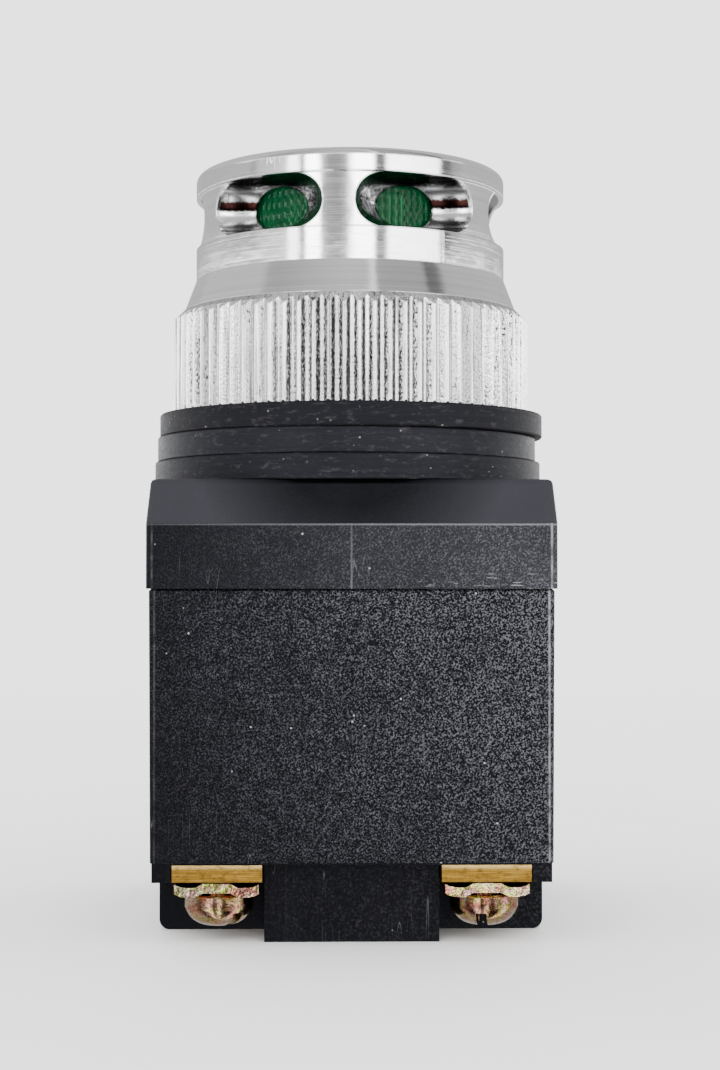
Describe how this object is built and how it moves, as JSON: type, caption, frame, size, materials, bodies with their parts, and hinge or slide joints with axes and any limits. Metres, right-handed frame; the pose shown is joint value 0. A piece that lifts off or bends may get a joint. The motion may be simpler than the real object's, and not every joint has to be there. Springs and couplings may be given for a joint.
{
  "type": "guarded illuminated push button",
  "caption": "Panel-mount illuminated push button: green lens in a windowed aluminium guard, knurled lock ring, black housing and screw terminals.",
  "frame": {"origin": "on the operator's axis at the panel seat, the plane between the gasket and the upper spacer ring", "axes": "+Z along the button's axis towards the finger, -Y towards the open front pair of terminals, X across the terminal rows"},
  "size_m": [0.0393, 0.0392, 0.0746],
  "materials": {
    "window_guard": "turned, polished",
    "lock_ring": "straight knurl, bright",
    "gasket": "matt",
    "spacer_ring_upper": "matt",
    "spacer_ring_lower": "matt, moulded",
    "lens_cap": "clear green, ribbed",
    "diffuser": "milky",
    "button_sleeve": "moulded",
    "sleeve_seal": "smooth",
    "return_spring": "drawn wire",
    "operator_housing": "spark-eroded texture",
    "lamp_holder": "moulded",
    "lamp_shell": "drawn",
    "lamp_base": "nickel plated",
    "lamp_bulb": "milky",
    "lamp_centre_contact": "turned",
    "contact_carrier": "moulded",
    "no_bridge": "rolled strip",
    "nc_bridge": "rolled strip",
    "no_bridge_tips": "silver",
    "nc_bridge_tips": "silver",
    "no_fixed_tips": "silver",
    "nc_fixed_tips": "silver",
    "no_contact_spring": "drawn wire",
    "nc_contact_spring": "drawn wire",
    "carrier_spring": "drawn wire",
    "no_terminal_right": "rolled strip",
    "no_terminal_left": "rolled strip",
    "nc_terminal_right": "rolled strip",
    "nc_terminal_left": "rolled strip",
    "lamp_terminal_right": "rolled strip",
    "lamp_terminal_left": "rolled strip",
    "contact_housing": "spark-eroded texture",
    "terminal_base": "moulded",
    "terminal_screws": "yellow zinc, iridescent",
    "clamp_plates": "yellow zinc, iridescent",
    "assembly_screws": "zinc"
  },
  "bodies": {
    "housing": {"operator_housing": "operator_housing", "contact_housing": "contact_housing", "terminal_base": "terminal_base", "spacer_ring_upper": "spacer_ring_upper", "spacer_ring_lower": "spacer_ring_lower", "lamp_holder": "lamp_holder", "lamp_shell": "lamp_shell", "lamp_base": "lamp_base", "lamp_bulb": "lamp_bulb", "lamp_centre_contact": "lamp_centre_contact", "no_terminal_right": "no_terminal_right", "no_terminal_left": "no_terminal_left", "nc_terminal_right": "nc_terminal_right", "nc_terminal_left": "nc_terminal_left", "no_fixed_tips": "no_fixed_tips", "nc_fixed_tips": "nc_fixed_tips", "lamp_terminal_right": "lamp_terminal_right", "lamp_terminal_left": "lamp_terminal_left", "terminal_screws": "terminal_screws", "clamp_plates": "clamp_plates", "assembly_screws": "assembly_screws", "return_spring": "return_spring", "carrier_spring": "carrier_spring"},
    "button": {"lens_cap": "lens_cap", "diffuser": "diffuser", "button_sleeve": "button_sleeve", "sleeve_seal": "sleeve_seal"},
    "carrier": {"contact_carrier": "contact_carrier", "no_bridge": "no_bridge", "nc_bridge": "nc_bridge", "no_bridge_tips": "no_bridge_tips", "nc_bridge_tips": "nc_bridge_tips", "no_contact_spring": "no_contact_spring", "nc_contact_spring": "nc_contact_spring"},
    "gasket": {"gasket": "gasket"},
    "lock": {"lock_ring": "lock_ring", "window_guard": "window_guard"}
  },
  "joints": [
    {"name": "button_press", "type": "slide", "parent": "housing", "child": "button", "axis": [0, 0, 1], "range_m": [-0.004, 0], "stiffness_N_per_m": 1500, "springref_m": 0.003, "deforming": ["return_spring"]},
    {"name": "carrier_travel", "type": "slide", "parent": "housing", "child": "carrier", "axis": [0, 0, 1], "range_m": [-0.004, 0], "stiffness_N_per_m": 300, "springref_m": 0.004, "deforming": ["carrier_spring"]},
    {"name": "gasket_lift", "type": "slide", "parent": "housing", "child": "gasket", "axis": [0, 0, 1], "range_m": [0, 0.006]},
    {"name": "lock_ring_turn", "type": "hinge", "parent": "gasket", "child": "lock", "pos_m": [0, 0, 0.0075], "axis": [0, 0, 1], "range_deg": [0, 1440]}
  ],
  "couplings": [
    {"joint": "carrier_travel", "follows": "button_press", "ratio": 1},
    {"joint": "lock_ring_turn", "follows": "gasket_lift", "rad_per_m": 4188.8}
  ]
}
